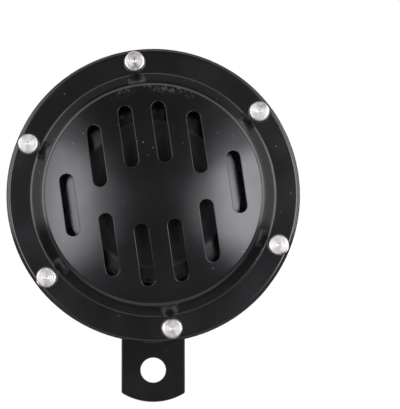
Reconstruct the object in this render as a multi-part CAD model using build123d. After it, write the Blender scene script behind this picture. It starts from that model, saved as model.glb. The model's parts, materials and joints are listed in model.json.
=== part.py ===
"""Electric disc horn: slotted cover, diaphragm with tone disc, coil, contact breaker and bracket.

Pieces are drawn in a working frame whose Y axis is the horn's axis, with -Y forward, +Z up and
y = 0 on the seat of the housing's flange. They are then moved so that the origin is the centre of
the bracket's hole, on the bracket's rear face. Millimetres.
"""
import math
import os

from build123d import *

# ---- sheet and flange stack ----
outer_d = 96.0            # over the cover's skirt
cover_wall = 1.2
housing_wall = 1.2
gasket_t = 0.5
diaphragm_t = 0.4
skirt_gap = 0.8           # between the skirt and what it wraps
skirt_overhang = 0.8      # past the rear face of the housing's flange
rim_bend_r = 2.0

# ---- cover: shoulder, dome and slots ----
flange_w = 8.4            # from the rim to the foot of the shoulder
shoulder_run = 3.9        # from the foot of the shoulder to its top edge
shoulder_h = 5.5
crown_h = 4.5             # dome above the shoulder
shoulder_bend_r = 1.6
fold_bend_r = 1.0
slot_w = 4.5
slot_l = 20.0
slot_lip_r = 0.25
slot_margin = 8.3         # shoulder's top edge to the circle that holds the slots' end centres
slot_spread = 2.54        # that circle's radius over the pitch of the six columns
grille_turn = 8.0         # rivets and slots, anticlockwise seen from the front
drain_lip_w = 7.2
drain_lip_proud = 0.45

# ---- flange rivets ----
rivet_inset = 4.25        # from the rim
rivet_count = 6
rivet_shank_d = 3.8
rivet_head_d = 7.1
rivet_head_h = 2.0
rivet_tail_d = 5.7
rivet_tail_h = 0.7
cover_notch_r = 5.6       # clears the riveting punch
housing_notch_r = 7.6

# ---- housing ----
housing_flange_w = 9.8    # from the cover's rim to the foot of the housing's shoulder
housing_shoulder_run = 3.6
floor_h = 6.0
cup_base_d = 36.6
cup_top_d = 32.0
cup_h = 10.0
cup_bend_r = 2.2
cup_foot_r = 1.2

# ---- armature, core and mounting stud ----
armature_d = 14.0
collar_d = 22.0
collar_t = 1.5
air_gap = 0.7
core_l = 6.0
stud_d = 8.0
armature_stud_d = 6.0
thread_gap = 0.05         # radial, between a thread and its nut or hole
bore_gap = 0.3            # radial, coil bore to the armature

# ---- diaphragm and tone disc ----
ripple_inset = 8.6        # from the foot of the cover's shoulder
ripple_w = 5.0
ripple_h = 0.7
diaphragm_washer_d = 15.0
diaphragm_washer_t = 2.0
tone_disc_d = 56.4
tone_disc_t = 1.2
tone_bend_r = 3.6
tone_hub_d = 19.0
tone_crest_d = 37.0
tone_crest_h = 2.6        # crest ahead of the hub
tone_rim_drop = 2.0       # rim behind the crest
armature_nut_af = 10.0
armature_nut_h = 3.2

# ---- coil ----
yoke_t = 1.5
bobbin_wall = 1.0
winding_gap = 0.6         # winding to the edge of the bobbin's cheeks
lead_d = 0.8
lead_hole_d = 1.8
lead_hole_pcd = 28.0
lead_bend_r = 1.2
arm_lead_stop = 6.0       # lead's end to the arm's rivet
tag_lead_run = 6.0        # lead along the tag

# ---- contact breaker ----
contact_d = 3.5
contact_t = 0.5
arm_t = 1.0
arm_end_r = 3.2
arm_root_r = 4.0
arm_seat_h = 3.6          # insulating seat under the arm
arm_rivet_d = 3.0
arm_rivet_inset = 8.6     # from the edge of the housing's floor
arm_rivet_turn = -47.0
arm_washer_t = 0.8
tail_run = 4.0            # solder tail past the leads' hole
tail_w = 3.0
leaf_t = 0.3
leaf_w = 5.0
pad_gap = 0.2             # collar to the pad at rest
pad_d = 3.0
contact_inset = 2.7       # contact pair inwards of the adjusting screw
contact_turn = 19.0

# ---- adjusting screw ----
screw_d = 4.0
screw_inset = 7.8         # from the edge of the housing's floor
screw_head_af = 7.0
screw_head_h = 2.8
screw_head_gap = 0.5      # head to the housing
screw_tip_gap = 0.05
screw_collar_d = 6.6
screw_collar_h = 2.0
recess_w = 1.0
recess_l = 3.6
recess_depth = 1.6

# ---- terminals ----
terminal_gap = 1.2        # block's waist to the foot of the cup
terminal_turn = 94.0
terminal_pitch = 21.2
lobe_r = 6.25
block_h = 5.0
waist_out = 3.2           # from the line of the rivets to the outer side of the waist
waist_in = 3.8
recess_d = 7.8            # round pocket for the blade's eye
blade_seat_h = 2.0
guide_w = 10.0
guide_l = 5.3
blade_t = 0.8
blade_root_w = 7.8
blade_w = 6.3
blade_step = 9.7          # rivet axis to the blade's narrow part
blade_tip = 18.0          # rivet axis to the tip
blade_chamfer = 1.5
blade_hole_d = 1.9
blade_hole_from_tip = 4.0
terminal_rivet_d = 3.0
terminal_head_d = 4.3
terminal_head_h = 1.2
inner_head_d = 5.0
inner_head_h = 0.8
insulator_t = 1.0
insulator_inset = 0.5     # inside the block's outline
insulator_gap = 0.4       # insulator to the floor's edge
collar_wall = 1.4
spacer_d = 6.0

# ---- bracket ----
bracket_w = 21.5
bracket_t = 2.5
bracket_drop = 58.5       # horn axis to the hole's centre
bracket_end = 10.6        # hole's centre to the lower end
bracket_end_r = 20.4
bracket_corner_r = 1.2
bracket_edge_r = 0.3      # blanked edge, both faces
mount_hole_d = 8.6
washer_d = 14.2
washer_t = 2.0
washer_slit = 1.5
nut_af = 13.0
nut_h = 6.5
stud_proud = 1.5

# ---- radii and depths, worked out from the sizes above ----
fold_d = outer_d - 2 * flange_w
shoulder_d = fold_d - 2 * shoulder_run
grille_r = shoulder_d / 2 - slot_margin
slot_pitch = grille_r / slot_spread
rivet_pcd = outer_d - 2 * rivet_inset
housing_fold_d = outer_d - 2 * housing_flange_w
floor_d = housing_fold_d - 2 * housing_shoulder_run
ripple_d = fold_d - 2 * ripple_inset
screw_r = floor_d / 2 - screw_inset
contact_r = screw_r - contact_inset
arm_rivet_r = floor_d / 2 - arm_rivet_inset
terminal_r = cup_base_d / 2 + terminal_gap + waist_in
rear_gasket_y = -gasket_t
diaphragm_y = rear_gasket_y - diaphragm_t
cover_seat_y = diaphragm_y - gasket_t
flange_face_y = cover_seat_y - cover_wall
shoulder_y = flange_face_y - shoulder_h
crown_y = shoulder_y - crown_h
floor_y = housing_wall + floor_h
floor_inner_y = floor_y - housing_wall
cup_y = floor_y + cup_h
cup_inner_y = cup_y - housing_wall
skirt_end_y = housing_wall + skirt_overhang
bracket_y = cup_y + bracket_t
stack_r = outer_d / 2 - cover_wall - skirt_gap
yoke_y = floor_inner_y + yoke_t
core_y = cup_inner_y - core_l
armature_y = core_y - air_gap
collar_y = rear_gasket_y + collar_t
arm_y = floor_inner_y - arm_seat_h
leaf_front_y = arm_y + 2 * contact_t
leaf_y = leaf_front_y + leaf_t
cup_inner_r = cup_top_d / 2 - housing_wall
block_y = floor_y + block_h
blade_y = floor_y + blade_seat_h
insulator_y = floor_inner_y - insulator_t


def polar(radius, turn):
    """Point on the front view, turned anticlockwise from straight up."""
    angle = math.radians(turn)
    return (-radius * math.sin(angle), radius * math.cos(angle))


def spot(point):
    """Location of a point of the front view, on the plane y = 0."""
    return Pos(point[0], 0, point[1])


def slab(face, front, rear):
    """Solid between two depths, from a face drawn on the front view."""
    return extrude(Plane.XZ.offset(-rear) * face, amount=rear - front)


def disc(diameter, front, rear, point=(0, 0)):
    """Round bar along the axis between two depths."""
    return spot(point) * slab(Circle(diameter / 2), front, rear)


def ring(outer, inner, front, rear, point=(0, 0)):
    """Round tube along the axis between two depths."""
    return spot(point) * slab(Circle(outer / 2) - Circle(inner / 2), front, rear)


def turned(*points):
    """Solid of revolution about the axis, from (radius, depth) corners."""
    return revolve(make_face(Polyline(*points, close=True)), Axis.Y)


def strip(start, end, width):
    """Round-ended strip on the front view."""
    bar = Sketch() + [Pos(*start) * Circle(width / 2), Pos(*end) * Circle(width / 2)]
    return make_hull(bar.edges())


def rivet_points():
    """Centres of the flange rivets on the front view."""
    return [polar(rivet_pcd / 2, grille_turn + 360 / rivet_count * i) for i in range(rivet_count)]


def rivet_holes(front, rear):
    """Holes of the flange rivets between two depths."""
    return [disc(rivet_shank_d + 2 * thread_gap, front, rear, p) for p in rivet_points()]


screw_point = polar(screw_r, grille_turn)
arm_point = polar(arm_rivet_r, arm_rivet_turn)
contact_point = polar(contact_r, contact_turn)
pad_point = polar((collar_d - pad_d) / 2, contact_turn)
arm_lead_point = polar(lead_hole_pcd / 2, arm_rivet_turn)


def terminal_place(out, along):
    """Front-view point from the block's middle: outwards, and along the line of the rivets."""
    middle = polar(terminal_r, terminal_turn)
    radial = polar(1, terminal_turn)
    tangent = polar(1, terminal_turn + 90)
    return tuple(middle[i] + out * radial[i] + along * tangent[i] for i in (0, 1))


terminal_points = [terminal_place(0, -terminal_pitch / 2), terminal_place(0, terminal_pitch / 2)]
tag_turn = math.degrees(math.atan2(-terminal_points[1][0], terminal_points[1][1]))
tag_lead_point = polar(lead_hole_pcd / 2, tag_turn)


def at_terminals(face):
    """Turns a front-view face drawn about the block's middle, x outwards, into its place."""
    return Pos(*terminal_place(0, 0)) * Rot(0, 0, 90 + terminal_turn) * face


# ---- pressed sheet ----

def skins(half, wall, open_y, forward):
    """Outer and inner filled bodies of a pressed sheet, cut off at its open side."""
    full = half + mirror(half, Plane.YZ)
    inner = offset(full, amount=-wall)
    depth = outer_d
    side = -1 if forward else 1
    window = Pos(outer_d, open_y + side * depth / 2) * Rectangle(2 * outer_d, depth)
    return revolve(half & window, Axis.Y), revolve(inner & window, Axis.Y)


def pressed(outer, inner, wall, notch_r, face_y, forward):
    """Sheet between two skins, with a flat-bottomed notch beside each rivet."""
    far = -outer_d if forward else outer_d
    sheet = outer - inner
    for point in rivet_points():
        low, high = sorted((face_y, face_y + far))
        clearing = disc(2 * notch_r, low, high, point)
        back = face_y + wall if forward else face_y - wall
        low, high = sorted((back, face_y + far))
        walled = disc(2 * (notch_r + wall), low, high, point)
        sheet = sheet - clearing + ((walled - clearing) & outer)
    return sheet


def front_grille_cover():
    """Domed cover: flange, stepped shoulder, crowned face with ten lipped slots, and skirt."""
    rim = outer_d / 2
    fold = fold_d / 2
    shoulder = shoulder_d / 2
    base_y = skirt_end_y + 5 * cover_wall
    sphere_r = (shoulder ** 2 + crown_h ** 2) / (2 * crown_h)
    mid_r = shoulder / 2
    mid_y = crown_y + sphere_r - math.sqrt(sphere_r ** 2 - mid_r ** 2)
    dome = ThreePointArc((0, crown_y), (mid_r, mid_y), (shoulder, shoulder_y))
    step = Polyline((shoulder, shoulder_y), (fold, flange_face_y), (rim, flange_face_y), (rim, base_y))
    closing = Polyline((rim, base_y), (0, base_y), (0, crown_y))
    half = make_face(Curve() + [dome, step, closing])
    corners = {(shoulder, shoulder_y): shoulder_bend_r, (fold, flange_face_y): fold_bend_r,
               (rim, flange_face_y): rim_bend_r}
    for corner, radius in corners.items():
        vertex = half.vertices().sort_by_distance((*corner, 0))[0]
        half = fillet(vertex, radius)
    outer, inner = skins(half, cover_wall, skirt_end_y, True)
    cover = pressed(outer, inner, cover_wall, cover_notch_r, flange_face_y, True)
    columns = [slot_pitch * (i + 0.5) for i in range(3)]
    places = [(side * columns[2], 0) for side in (-1, 1)]
    for column in columns[:2]:
        rise = math.sqrt(grille_r ** 2 - column ** 2) - (slot_l - slot_w) / 2
        places += [(i * column, j * rise) for i in (-1, 1) for j in (-1, 1)]
    slots = Sketch() + [Pos(*p) * Rot(0, 0, 90) * SlotOverall(slot_l, slot_w) for p in places]
    cover -= slab(Rot(0, 0, grille_turn) * slots, 2 * crown_y, cover_seat_y)
    limit = shoulder_d / 2
    lips = [e for e in cover.edges() if is_slot_lip(e, limit)]
    cover = fillet(lips, slot_lip_r)
    cover -= rivet_holes(2 * flange_face_y, 0)
    return cover + drain_lip()


def is_slot_lip(edge, limit):
    """True for an edge where a slot meets the outer skin."""
    centre = edge.center(CenterOf.BOUNDING_BOX)
    radius = math.hypot(centre.X, centre.Z)
    sphere_r = (limit ** 2 + crown_h ** 2) / (2 * crown_h)
    start = edge @ 0.5
    depth = crown_y + sphere_r - math.sqrt(max(sphere_r ** 2 - start.X ** 2 - start.Z ** 2, 0))
    return radius < limit - 2 and edge.length < slot_l and abs(start.Y - depth) < cover_wall / 4


def drain_lip():
    """Short flared lip at the foot of the skirt."""
    rim = outer_d / 2
    band = ring(outer_d + 2 * drain_lip_proud, outer_d - cover_wall, 0, skirt_end_y)
    window = slab(Pos(0, -rim) * Rectangle(drain_lip_w, 4 * cover_wall), 0, skirt_end_y)
    return band & window


def rear_housing():
    """Bowl with flange, stepped shoulder, annular floor and central coil cup."""
    fold = housing_fold_d / 2
    floor = floor_d / 2
    base_y = -5 * housing_wall
    half = make_face(Polyline((0, base_y), (stack_r, base_y), (stack_r, housing_wall),
                              (fold, housing_wall), (floor, floor_y), (cup_base_d / 2, floor_y),
                              (cup_top_d / 2, cup_y), (0, cup_y), close=True))
    corners = {(fold, housing_wall): fold_bend_r, (floor, floor_y): shoulder_bend_r,
               (cup_base_d / 2, floor_y): cup_foot_r, (cup_top_d / 2, cup_y): cup_bend_r}
    for corner, radius in corners.items():
        vertex = half.vertices().sort_by_distance((*corner, 0))[0]
        half = fillet(vertex, radius)
    outer, inner = skins(half, housing_wall, 0, False)
    housing = pressed(outer, inner, housing_wall, housing_notch_r, housing_wall, False)
    collar_front = floor_inner_y - screw_collar_h
    housing += disc(screw_collar_d, collar_front, floor_inner_y + housing_wall / 2, screw_point)
    housing -= disc(screw_d + 2 * thread_gap, -housing_wall, floor_y + 1, screw_point)
    housing -= rivet_holes(-1, 2 * housing_wall)
    housing -= disc(stud_d + 2 * thread_gap, cup_inner_y - 1, cup_y + 1)
    housing -= disc(arm_rivet_d + 2 * thread_gap, 0, floor_y + 1, arm_point)
    bush_d = terminal_rivet_d + 2 * collar_wall
    housing -= [disc(bush_d + 2 * thread_gap, 0, floor_y + 1, p) for p in terminal_points]
    return housing


# ---- flange stack ----

def gasket(front, rear):
    """Paper ring between the flanges."""
    inner_r = fold_d / 2
    return ring(2 * stack_r, 2 * inner_r, front, rear) - rivet_holes(front - 1, rear + 1)


def diaphragm():
    """Thin steel disc with one ripple, clamped at its edge and at the armature."""
    rear = rear_gasket_y
    crest = ripple_d / 2
    hole = armature_stud_d / 2 + thread_gap
    path = [(hole, rear), (crest - ripple_w / 2, rear), (crest, rear + ripple_h),
            (crest + ripple_w / 2, rear), (stack_r, rear)]
    front = [(r, y - diaphragm_t) for r, y in reversed(path)]
    return turned(*path, *front) - rivet_holes(diaphragm_y - 1, rear + 1)


def flange_rivets():
    """Rivets with turned heads in front and flat tails behind."""
    head_y = flange_face_y - rivet_head_h
    tail_y = housing_wall + rivet_tail_h
    head = disc(rivet_head_d, head_y, flange_face_y)
    rim = head.edges().filter_by(GeomType.CIRCLE).sort_by(Axis.Y)[0]
    head = fillet(rim, rivet_head_h / 4)
    dimple = turned((0, head_y - 1), (rivet_head_d / 8, head_y - 1), (rivet_head_d / 8, head_y),
                    (0, head_y + rivet_head_h / 8))
    body = disc(rivet_shank_d, flange_face_y, housing_wall) + disc(rivet_tail_d, housing_wall, tail_y)
    rivet = head - dimple + body
    return Compound([spot(p) * rivet for p in rivet_points()])


# ---- moving set ----

def armature():
    """Plunger with a collar behind the diaphragm and a stud through it."""
    plunger = disc(armature_d, collar_y, armature_y)
    plunger = chamfer(plunger.edges().sort_by(Axis.Y)[-1], air_gap)
    collar = disc(collar_d, rear_gasket_y, collar_y)
    stud_y = nut_front_y() - stud_proud / 2
    return plunger + collar + disc(armature_stud_d, stud_y, rear_gasket_y)


def hub_y():
    """Rear face of the tone disc's hub."""
    return diaphragm_y - diaphragm_washer_t


def nut_front_y():
    """Front face of the armature's nut."""
    return hub_y() - tone_disc_t - armature_nut_h


def tone_disc():
    """Dished disc: flat hub, crest ahead of it, rim turned back."""
    hub = tone_hub_d / 2
    crest = tone_crest_d / 2
    rim = tone_disc_d / 2
    rear = hub_y()
    path = Polyline((0, rear), (hub, rear), (crest, rear - tone_crest_h),
                    (rim, rear - tone_crest_h + tone_rim_drop))
    front = Polyline((rim, rear - tone_crest_h + tone_rim_drop - tone_disc_t),
                     (crest, rear - tone_crest_h - tone_disc_t), (hub, rear - tone_disc_t),
                     (0, rear - tone_disc_t))
    ends = [Line(path @ 1, front @ 0), Line(front @ 1, path @ 0)]
    face = make_face(Curve() + [path, front] + ends)
    bends = [v for v in face.vertices() if hub - 1 < v.X < rim - 1]
    face = fillet(bends, tone_bend_r)
    return revolve(face, Axis.Y) - disc(armature_stud_d + 2 * thread_gap, rear - 4 * tone_disc_t, rear + 1)


def hex_nut(af, bore, front, rear):
    """Hexagon nut with both faces' corners turned off."""
    body = slab(RegularPolygon(af / 2, 6, major_radius=False), front, rear)
    corner = af / math.sqrt(3)
    drop = (corner - af / 2) * math.tan(math.radians(30))
    cone = turned((0, front), (af / 2, front), (corner, front + drop), (corner, rear - drop),
                  (af / 2, rear), (0, rear))
    return (body & cone) - disc(bore + 2 * thread_gap, front - 1, rear + 1)


# ---- magnet ----

def pole_core():
    """Fixed core seated in the cup, running out as the mounting stud."""
    stud_y = bracket_y + washer_t + nut_h + stud_proud
    core = disc(armature_d, core_y, cup_inner_y)
    stud = disc(stud_d, cup_inner_y, stud_y)
    stud = chamfer(stud.edges().sort_by(Axis.Y)[-1], stud_d / 10)
    return core + stud


def lead_points():
    """Where the two coil leads come through the bobbin and the yoke plate."""
    return [arm_lead_point, tag_lead_point]


def lead_holes(front, rear):
    """Holes for the coil leads between two depths."""
    return [disc(lead_hole_d, front, rear, p) for p in lead_points()]


def bobbin_r():
    """Radius of the bobbin's cheeks, clear of the cup's tapered wall."""
    return cup_inner_r - bore_gap


def coil_bobbin():
    """Spool between the yoke plate and the cup's floor."""
    bore = armature_d / 2 + bore_gap
    rear = cup_inner_y
    cheek = bobbin_r()
    foot = cheek - cup_bend_r / 2
    barrel = bore + bobbin_wall
    spool = turned((bore, yoke_y), (cheek, yoke_y), (cheek, yoke_y + bobbin_wall),
                   (barrel, yoke_y + bobbin_wall), (barrel, rear - bobbin_wall),
                   (cheek, rear - bobbin_wall), (foot, rear), (bore, rear))
    return spool - lead_holes(yoke_y - 1, yoke_y + bobbin_wall + 0.1)


def coil_winding():
    """Enamelled copper winding, as one ring."""
    barrel = armature_d / 2 + bore_gap + bobbin_wall
    return ring(2 * (bobbin_r() - winding_gap), 2 * barrel, yoke_y + bobbin_wall, cup_inner_y - bobbin_wall)


def yoke_plate():
    """Steel washer pressed into the mouth of the cup."""
    bore = armature_d / 2 + 2 * bore_gap
    slope = (cup_base_d - cup_top_d) / 2 / cup_h
    edge = cup_inner_r + slope * (cup_y - yoke_y)
    plate = ring(2 * edge, 2 * bore, floor_inner_y, yoke_y)
    return plate - lead_holes(floor_inner_y - 1, yoke_y + 1)


def lead(point, run, end_y):
    """Wire from the winding forward through the yoke, then outwards to its tag."""
    start_r = lead_hole_pcd / 2
    end_r = start_r + run
    corners = [(start_r, yoke_y + bobbin_wall), (start_r, end_y), (end_r, end_y)]
    path = FilletPolyline(*corners, radius=min(lead_bend_r, 0.8 * run))
    section = Plane(path @ 0, z_dir=path % 0) * Circle(lead_d / 2)
    turn = math.degrees(math.atan2(point[1], point[0]))
    return Rot(0, -turn, 0) * sweep(section, path=path)


def coil_leads():
    """The winding's two ends."""
    arm_run = arm_rivet_r - arm_lead_stop - lead_hole_pcd / 2
    return Compound([lead(arm_lead_point, arm_run, arm_y + lead_d / 2),
                     lead(tag_lead_point, tag_lead_run, leaf_y + lead_d / 2)])


# ---- contact breaker ----

def fixed_contact_arm():
    """Stiff arm from its rivet to the screw and the contact, with a solder tail for the coil lead."""
    spots = [(arm_point, arm_root_r), (screw_point, arm_end_r), (contact_point, arm_end_r)]
    circles = Sketch() + [Pos(*p) * Circle(r) for p, r in spots]
    plate = make_hull(circles.edges())
    plate += strip(arm_point, polar(lead_hole_pcd / 2 + tail_run, arm_rivet_turn), tail_w)
    plate -= Pos(*arm_point) * Circle(arm_rivet_d / 2 + thread_gap)
    return slab(plate, arm_y - arm_t, arm_y)


def moving_contact_leaf():
    """Spring leaf from the upper terminal's rivet to the contact, with a tongue to the armature."""
    shape = strip(terminal_points[0], contact_point, leaf_w) + strip(contact_point, pad_point, pad_d + 1)
    shape += Pos(*terminal_points[0]) * Circle(spacer_d / 2)
    shape -= Pos(*terminal_points[0]) * Circle(terminal_rivet_d / 2 + thread_gap)
    return slab(shape, leaf_front_y, leaf_y)


def leaf_push_pad():
    """Fibre pad on the leaf's tongue, just behind the armature's collar."""
    return disc(pad_d, collar_y + pad_gap, leaf_front_y, pad_point)


def arm_insulators():
    """Insulating seat under the arm and washer over it."""
    bore = arm_rivet_d + 2 * thread_gap
    seat = ring(2 * arm_root_r, bore, arm_y, floor_inner_y, arm_point)
    washer = ring(2 * arm_root_r - 1, bore, arm_y - arm_t - arm_washer_t, arm_y - arm_t, arm_point)
    return Compound([seat, washer])


def arm_rivet():
    """Rivet that holds the arm to the housing's floor."""
    front = arm_y - arm_t - arm_washer_t
    shank = disc(arm_rivet_d, front, floor_y, arm_point)
    inside = disc(inner_head_d, front - inner_head_h, front, arm_point)
    outside = disc(inner_head_d, floor_y, floor_y + inner_head_h, arm_point)
    return shank + inside + outside


def adjusting_screw():
    """Hexagon screw with a cross recess; its tip bears on the contact arm."""
    seat_y = floor_y + screw_head_gap
    top_y = seat_y + screw_head_h
    corner = screw_head_af / math.sqrt(3)
    drop = (corner - screw_head_af / 2) * math.tan(math.radians(30))
    head = slab(RegularPolygon(screw_head_af / 2, 6, major_radius=False), seat_y, top_y)
    head &= turned((0, seat_y), (corner, seat_y), (corner, top_y - drop),
                   (screw_head_af / 2, top_y), (0, top_y))
    cross = Rectangle(recess_l, recess_w) + Rectangle(recess_w, recess_l)
    head -= extrude(Plane.XZ.offset(-top_y) * cross, amount=recess_depth, taper=12)
    tip_y = arm_y + screw_tip_gap
    shank = disc(screw_d, tip_y, seat_y)
    shank = chamfer(shank.edges().sort_by(Axis.Y)[0], screw_d / 8)
    return spot(screw_point) * (head + shank)


# ---- terminals ----

def waist_circle(half_width):
    """Radius of the circle that hollows the waist and runs tangent to both lobes."""
    half_pitch = terminal_pitch / 2
    return (half_width ** 2 + half_pitch ** 2 - lobe_r ** 2) / (2 * (lobe_r - half_width))


def dog_bone():
    """Outline of the block about its middle, x outwards."""
    lobes = Sketch() + [Pos(0, s * terminal_pitch / 2) * Circle(lobe_r) for s in (-1, 1)]
    outline = make_hull(lobes.edges())
    for side, half_width in ((1, waist_out), (-1, waist_in)):
        radius = waist_circle(half_width)
        outline -= Pos(side * (half_width + radius), 0) * Circle(radius)
    return outline


def terminal_block():
    """Moulded block with a pocket and an exit slot for each blade, and a dimple at its waist."""
    outline = dog_bone()
    guides = [Pos(guide_l / 2, s * terminal_pitch / 2) * Rectangle(guide_l, guide_w) for s in (-1, 1)]
    block = slab(at_terminals(outline + guides), floor_y, block_y)
    top = block.faces().sort_by(Axis.Y)[-1]
    block = fillet(top.edges(), lobe_r / 16)
    pockets = [Pos(0, s * terminal_pitch / 2) * Circle(recess_d / 2) for s in (-1, 1)]
    block -= slab(at_terminals(Sketch() + pockets), blade_y, block_y + 1)
    slots = [Pos(lobe_r, s * terminal_pitch / 2) * Rectangle(2 * lobe_r, blade_root_w + 2 * thread_gap)
             for s in (-1, 1)]
    block -= slab(at_terminals(Sketch() + slots), blade_y, blade_y + blade_t)
    holes = [Pos(0, s * terminal_pitch / 2) * Circle(terminal_rivet_d / 2 + thread_gap) for s in (-1, 1)]
    block -= slab(at_terminals(Sketch() + holes), floor_y - 1, block_y)
    dimple = Circle(terminal_head_d / 2 + thread_gap)
    step = Rot(0, 0, 35) * Pos(0, -terminal_head_d / 2) * Rectangle(2 * terminal_head_d, terminal_head_d)
    block -= slab(at_terminals(dimple), block_y - inner_head_h / 2, block_y + 1)
    block -= slab(at_terminals(dimple & step), block_y - inner_head_h, block_y)
    return block


def terminal_blade(side):
    """Flat blade: eye under the rivet, shoulder, narrow end with clipped corners and a hole."""
    centre = side * terminal_pitch / 2
    half = blade_w / 2
    tip = blade_tip
    clip = blade_chamfer
    end = Polyline((0, -half), (tip - clip, -half), (tip, -half + clip), (tip, half - clip),
                   (tip - clip, half), (0, half), close=True)
    face = make_face(end) + Circle((recess_d - thread_gap) / 2)
    face += Pos(blade_step / 2, 0) * Rectangle(blade_step, blade_root_w)
    face -= Circle(terminal_rivet_d / 2 + thread_gap)
    face -= Pos(tip - blade_hole_from_tip, 0) * Circle(blade_hole_d / 2)
    return slab(at_terminals(Pos(0, centre) * face), blade_y, blade_y + blade_t)


def terminal_rivets():
    """Rivets through blade, block, housing and inner insulator."""
    top = blade_y + blade_t
    rivet = disc(terminal_head_d, top, top + terminal_head_h)
    rivet = fillet(rivet.edges().sort_by(Axis.Y)[-1], terminal_head_h / 4)
    rivet += disc(terminal_rivet_d, leaf_front_y, top)
    rivet += disc(inner_head_d, leaf_front_y - inner_head_h, leaf_front_y)
    return Compound([spot(p) * rivet for p in terminal_points])


def inner_insulator():
    """Fibre plate on the housing's floor, with a collar through each terminal hole."""
    lobes = Sketch() + [Pos(0, s * terminal_pitch / 2) * Circle(lobe_r - insulator_inset) for s in (-1, 1)]
    outline = at_terminals(make_hull(lobes.edges()))
    floor = Circle(floor_d / 2 - housing_wall - insulator_gap)
    plate = slab(outline & floor, insulator_y, floor_inner_y)
    collar = terminal_rivet_d + 2 * collar_wall
    plate += [disc(collar, insulator_y, floor_y, p) for p in terminal_points]
    return plate - [disc(terminal_rivet_d + 2 * thread_gap, 0, floor_y + 1, p) for p in terminal_points]


def terminal_spacers():
    """Brass bushes between the inner insulator and the leaf or the tag."""
    bore = terminal_rivet_d + 2 * thread_gap
    return Compound([ring(spacer_d, bore, leaf_y, insulator_y, p) for p in terminal_points])


def coil_tag():
    """Solder tag on the lower terminal."""
    tag = strip(terminal_points[1], polar(lead_hole_pcd / 2 + tail_run, tag_turn), tail_w)
    tag += Pos(*terminal_points[1]) * Circle(spacer_d / 2)
    tag -= Pos(*terminal_points[1]) * Circle(terminal_rivet_d / 2 + thread_gap)
    return slab(tag, leaf_front_y, leaf_y)


# ---- mounting ----

def mounting_bracket():
    """Flat strip down from the stud, with a bowed lower end."""
    half = bracket_w / 2
    end = -bracket_drop - bracket_end
    bow = bracket_end_r - math.sqrt(bracket_end_r ** 2 - half ** 2)
    bottom = ThreePointArc((-half, end + bow), (0, end), (half, end + bow))
    sides = Polyline((half, end + bow), (half, 0), (-half, 0), (-half, end + bow))
    strap = make_face(Curve() + [bottom, sides])
    strap = fillet(strap.vertices().group_by(Axis.Y)[0], bracket_corner_r)
    strap += Circle(half)
    plate = slab(strap, cup_y, bracket_y)
    plate = fillet(plate.edges().filter_by(Plane.XZ), bracket_edge_r)
    plate -= disc(stud_d + 2 * thread_gap, cup_y - 1, bracket_y + 1)
    return plate - disc(mount_hole_d, cup_y - 1, bracket_y + 1, (0, -bracket_drop))


def spring_washer():
    """Split ring under the nut, pressed flat."""
    face = Circle(washer_d / 2) - Circle(stud_d / 2 + thread_gap)
    face -= Pos(washer_d / 2, 0) * Rectangle(washer_d, washer_slit)
    return slab(face, bracket_y, bracket_y + washer_t)


washer_y = bracket_y + washer_t
stud_clear = armature_stud_d + 2 * thread_gap
pieces = {
    "front_grille_cover": front_grille_cover(),
    "front_gasket": gasket(cover_seat_y, diaphragm_y),
    "diaphragm": diaphragm(),
    "rear_gasket": gasket(rear_gasket_y, 0),
    "rear_housing": rear_housing(),
    "flange_rivets": flange_rivets(),
    "armature": armature(),
    "diaphragm_washer": ring(diaphragm_washer_d, stud_clear, hub_y(), diaphragm_y),
    "tone_disc": tone_disc(),
    "armature_nut": hex_nut(armature_nut_af, armature_stud_d, nut_front_y(), hub_y() - tone_disc_t),
    "pole_core": pole_core(),
    "coil_bobbin": coil_bobbin(),
    "coil_winding": coil_winding(),
    "yoke_plate": yoke_plate(),
    "coil_leads": coil_leads(),
    "fixed_contact_arm": fixed_contact_arm(),
    "fixed_contact_point": disc(contact_d, arm_y, arm_y + contact_t, contact_point),
    "moving_contact_point": disc(contact_d, arm_y + contact_t, leaf_front_y, contact_point),
    "moving_contact_leaf": moving_contact_leaf(),
    "leaf_push_pad": leaf_push_pad(),
    "arm_insulators": arm_insulators(),
    "arm_rivet": arm_rivet(),
    "adjusting_screw": adjusting_screw(),
    "terminal_block": terminal_block(),
    "upper_terminal_blade": terminal_blade(-1),
    "lower_terminal_blade": terminal_blade(1),
    "terminal_rivets": terminal_rivets(),
    "inner_insulator": inner_insulator(),
    "terminal_spacers": terminal_spacers(),
    "coil_tag": coil_tag(),
    "mounting_bracket": mounting_bracket(),
    "spring_washer": spring_washer(),
    "stud_nut": hex_nut(nut_af, stud_d, washer_y, washer_y + nut_h),
}

os.makedirs("parts", exist_ok=True)
to_mount = Pos(0, -bracket_y, bracket_drop)
for name, piece in pieces.items():
    export_step(to_mount * piece, f"parts/{name}.step")
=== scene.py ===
import json
import math

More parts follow.
